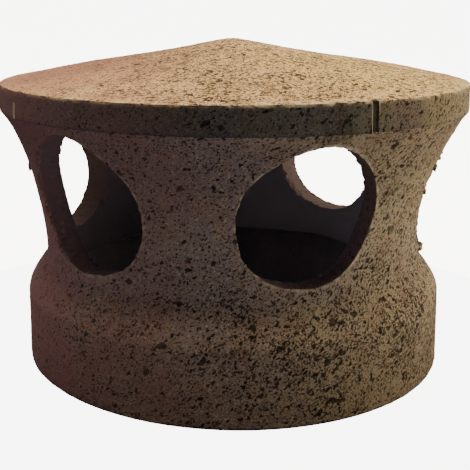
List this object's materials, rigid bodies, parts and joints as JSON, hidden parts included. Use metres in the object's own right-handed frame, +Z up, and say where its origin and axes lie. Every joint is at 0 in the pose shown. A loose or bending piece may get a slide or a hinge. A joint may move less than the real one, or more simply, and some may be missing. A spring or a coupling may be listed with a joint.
{
  "type": "roof vent cap",
  "caption": "Round fired-clay roof vent cap: low conical roof with an upright rim over a flared, pierced wall, on a socket base that drops over a vent pipe.",
  "frame": {"origin": "middle of the flat underside, on the axis of the turned body", "axes": "+Z up along the axis to the roof's peak; -Y is the front, the side shown in the picture; +X to the viewer's right"},
  "size_m": [0.2, 0.2, 0.1361],
  "materials": {
    "fired_clay": "unglazed brown clay with dark iron specks, matt and slightly rough"
  },
  "bodies": {
    "root": {"vent_cap": "fired_clay"}
  },
  "joints": []
}
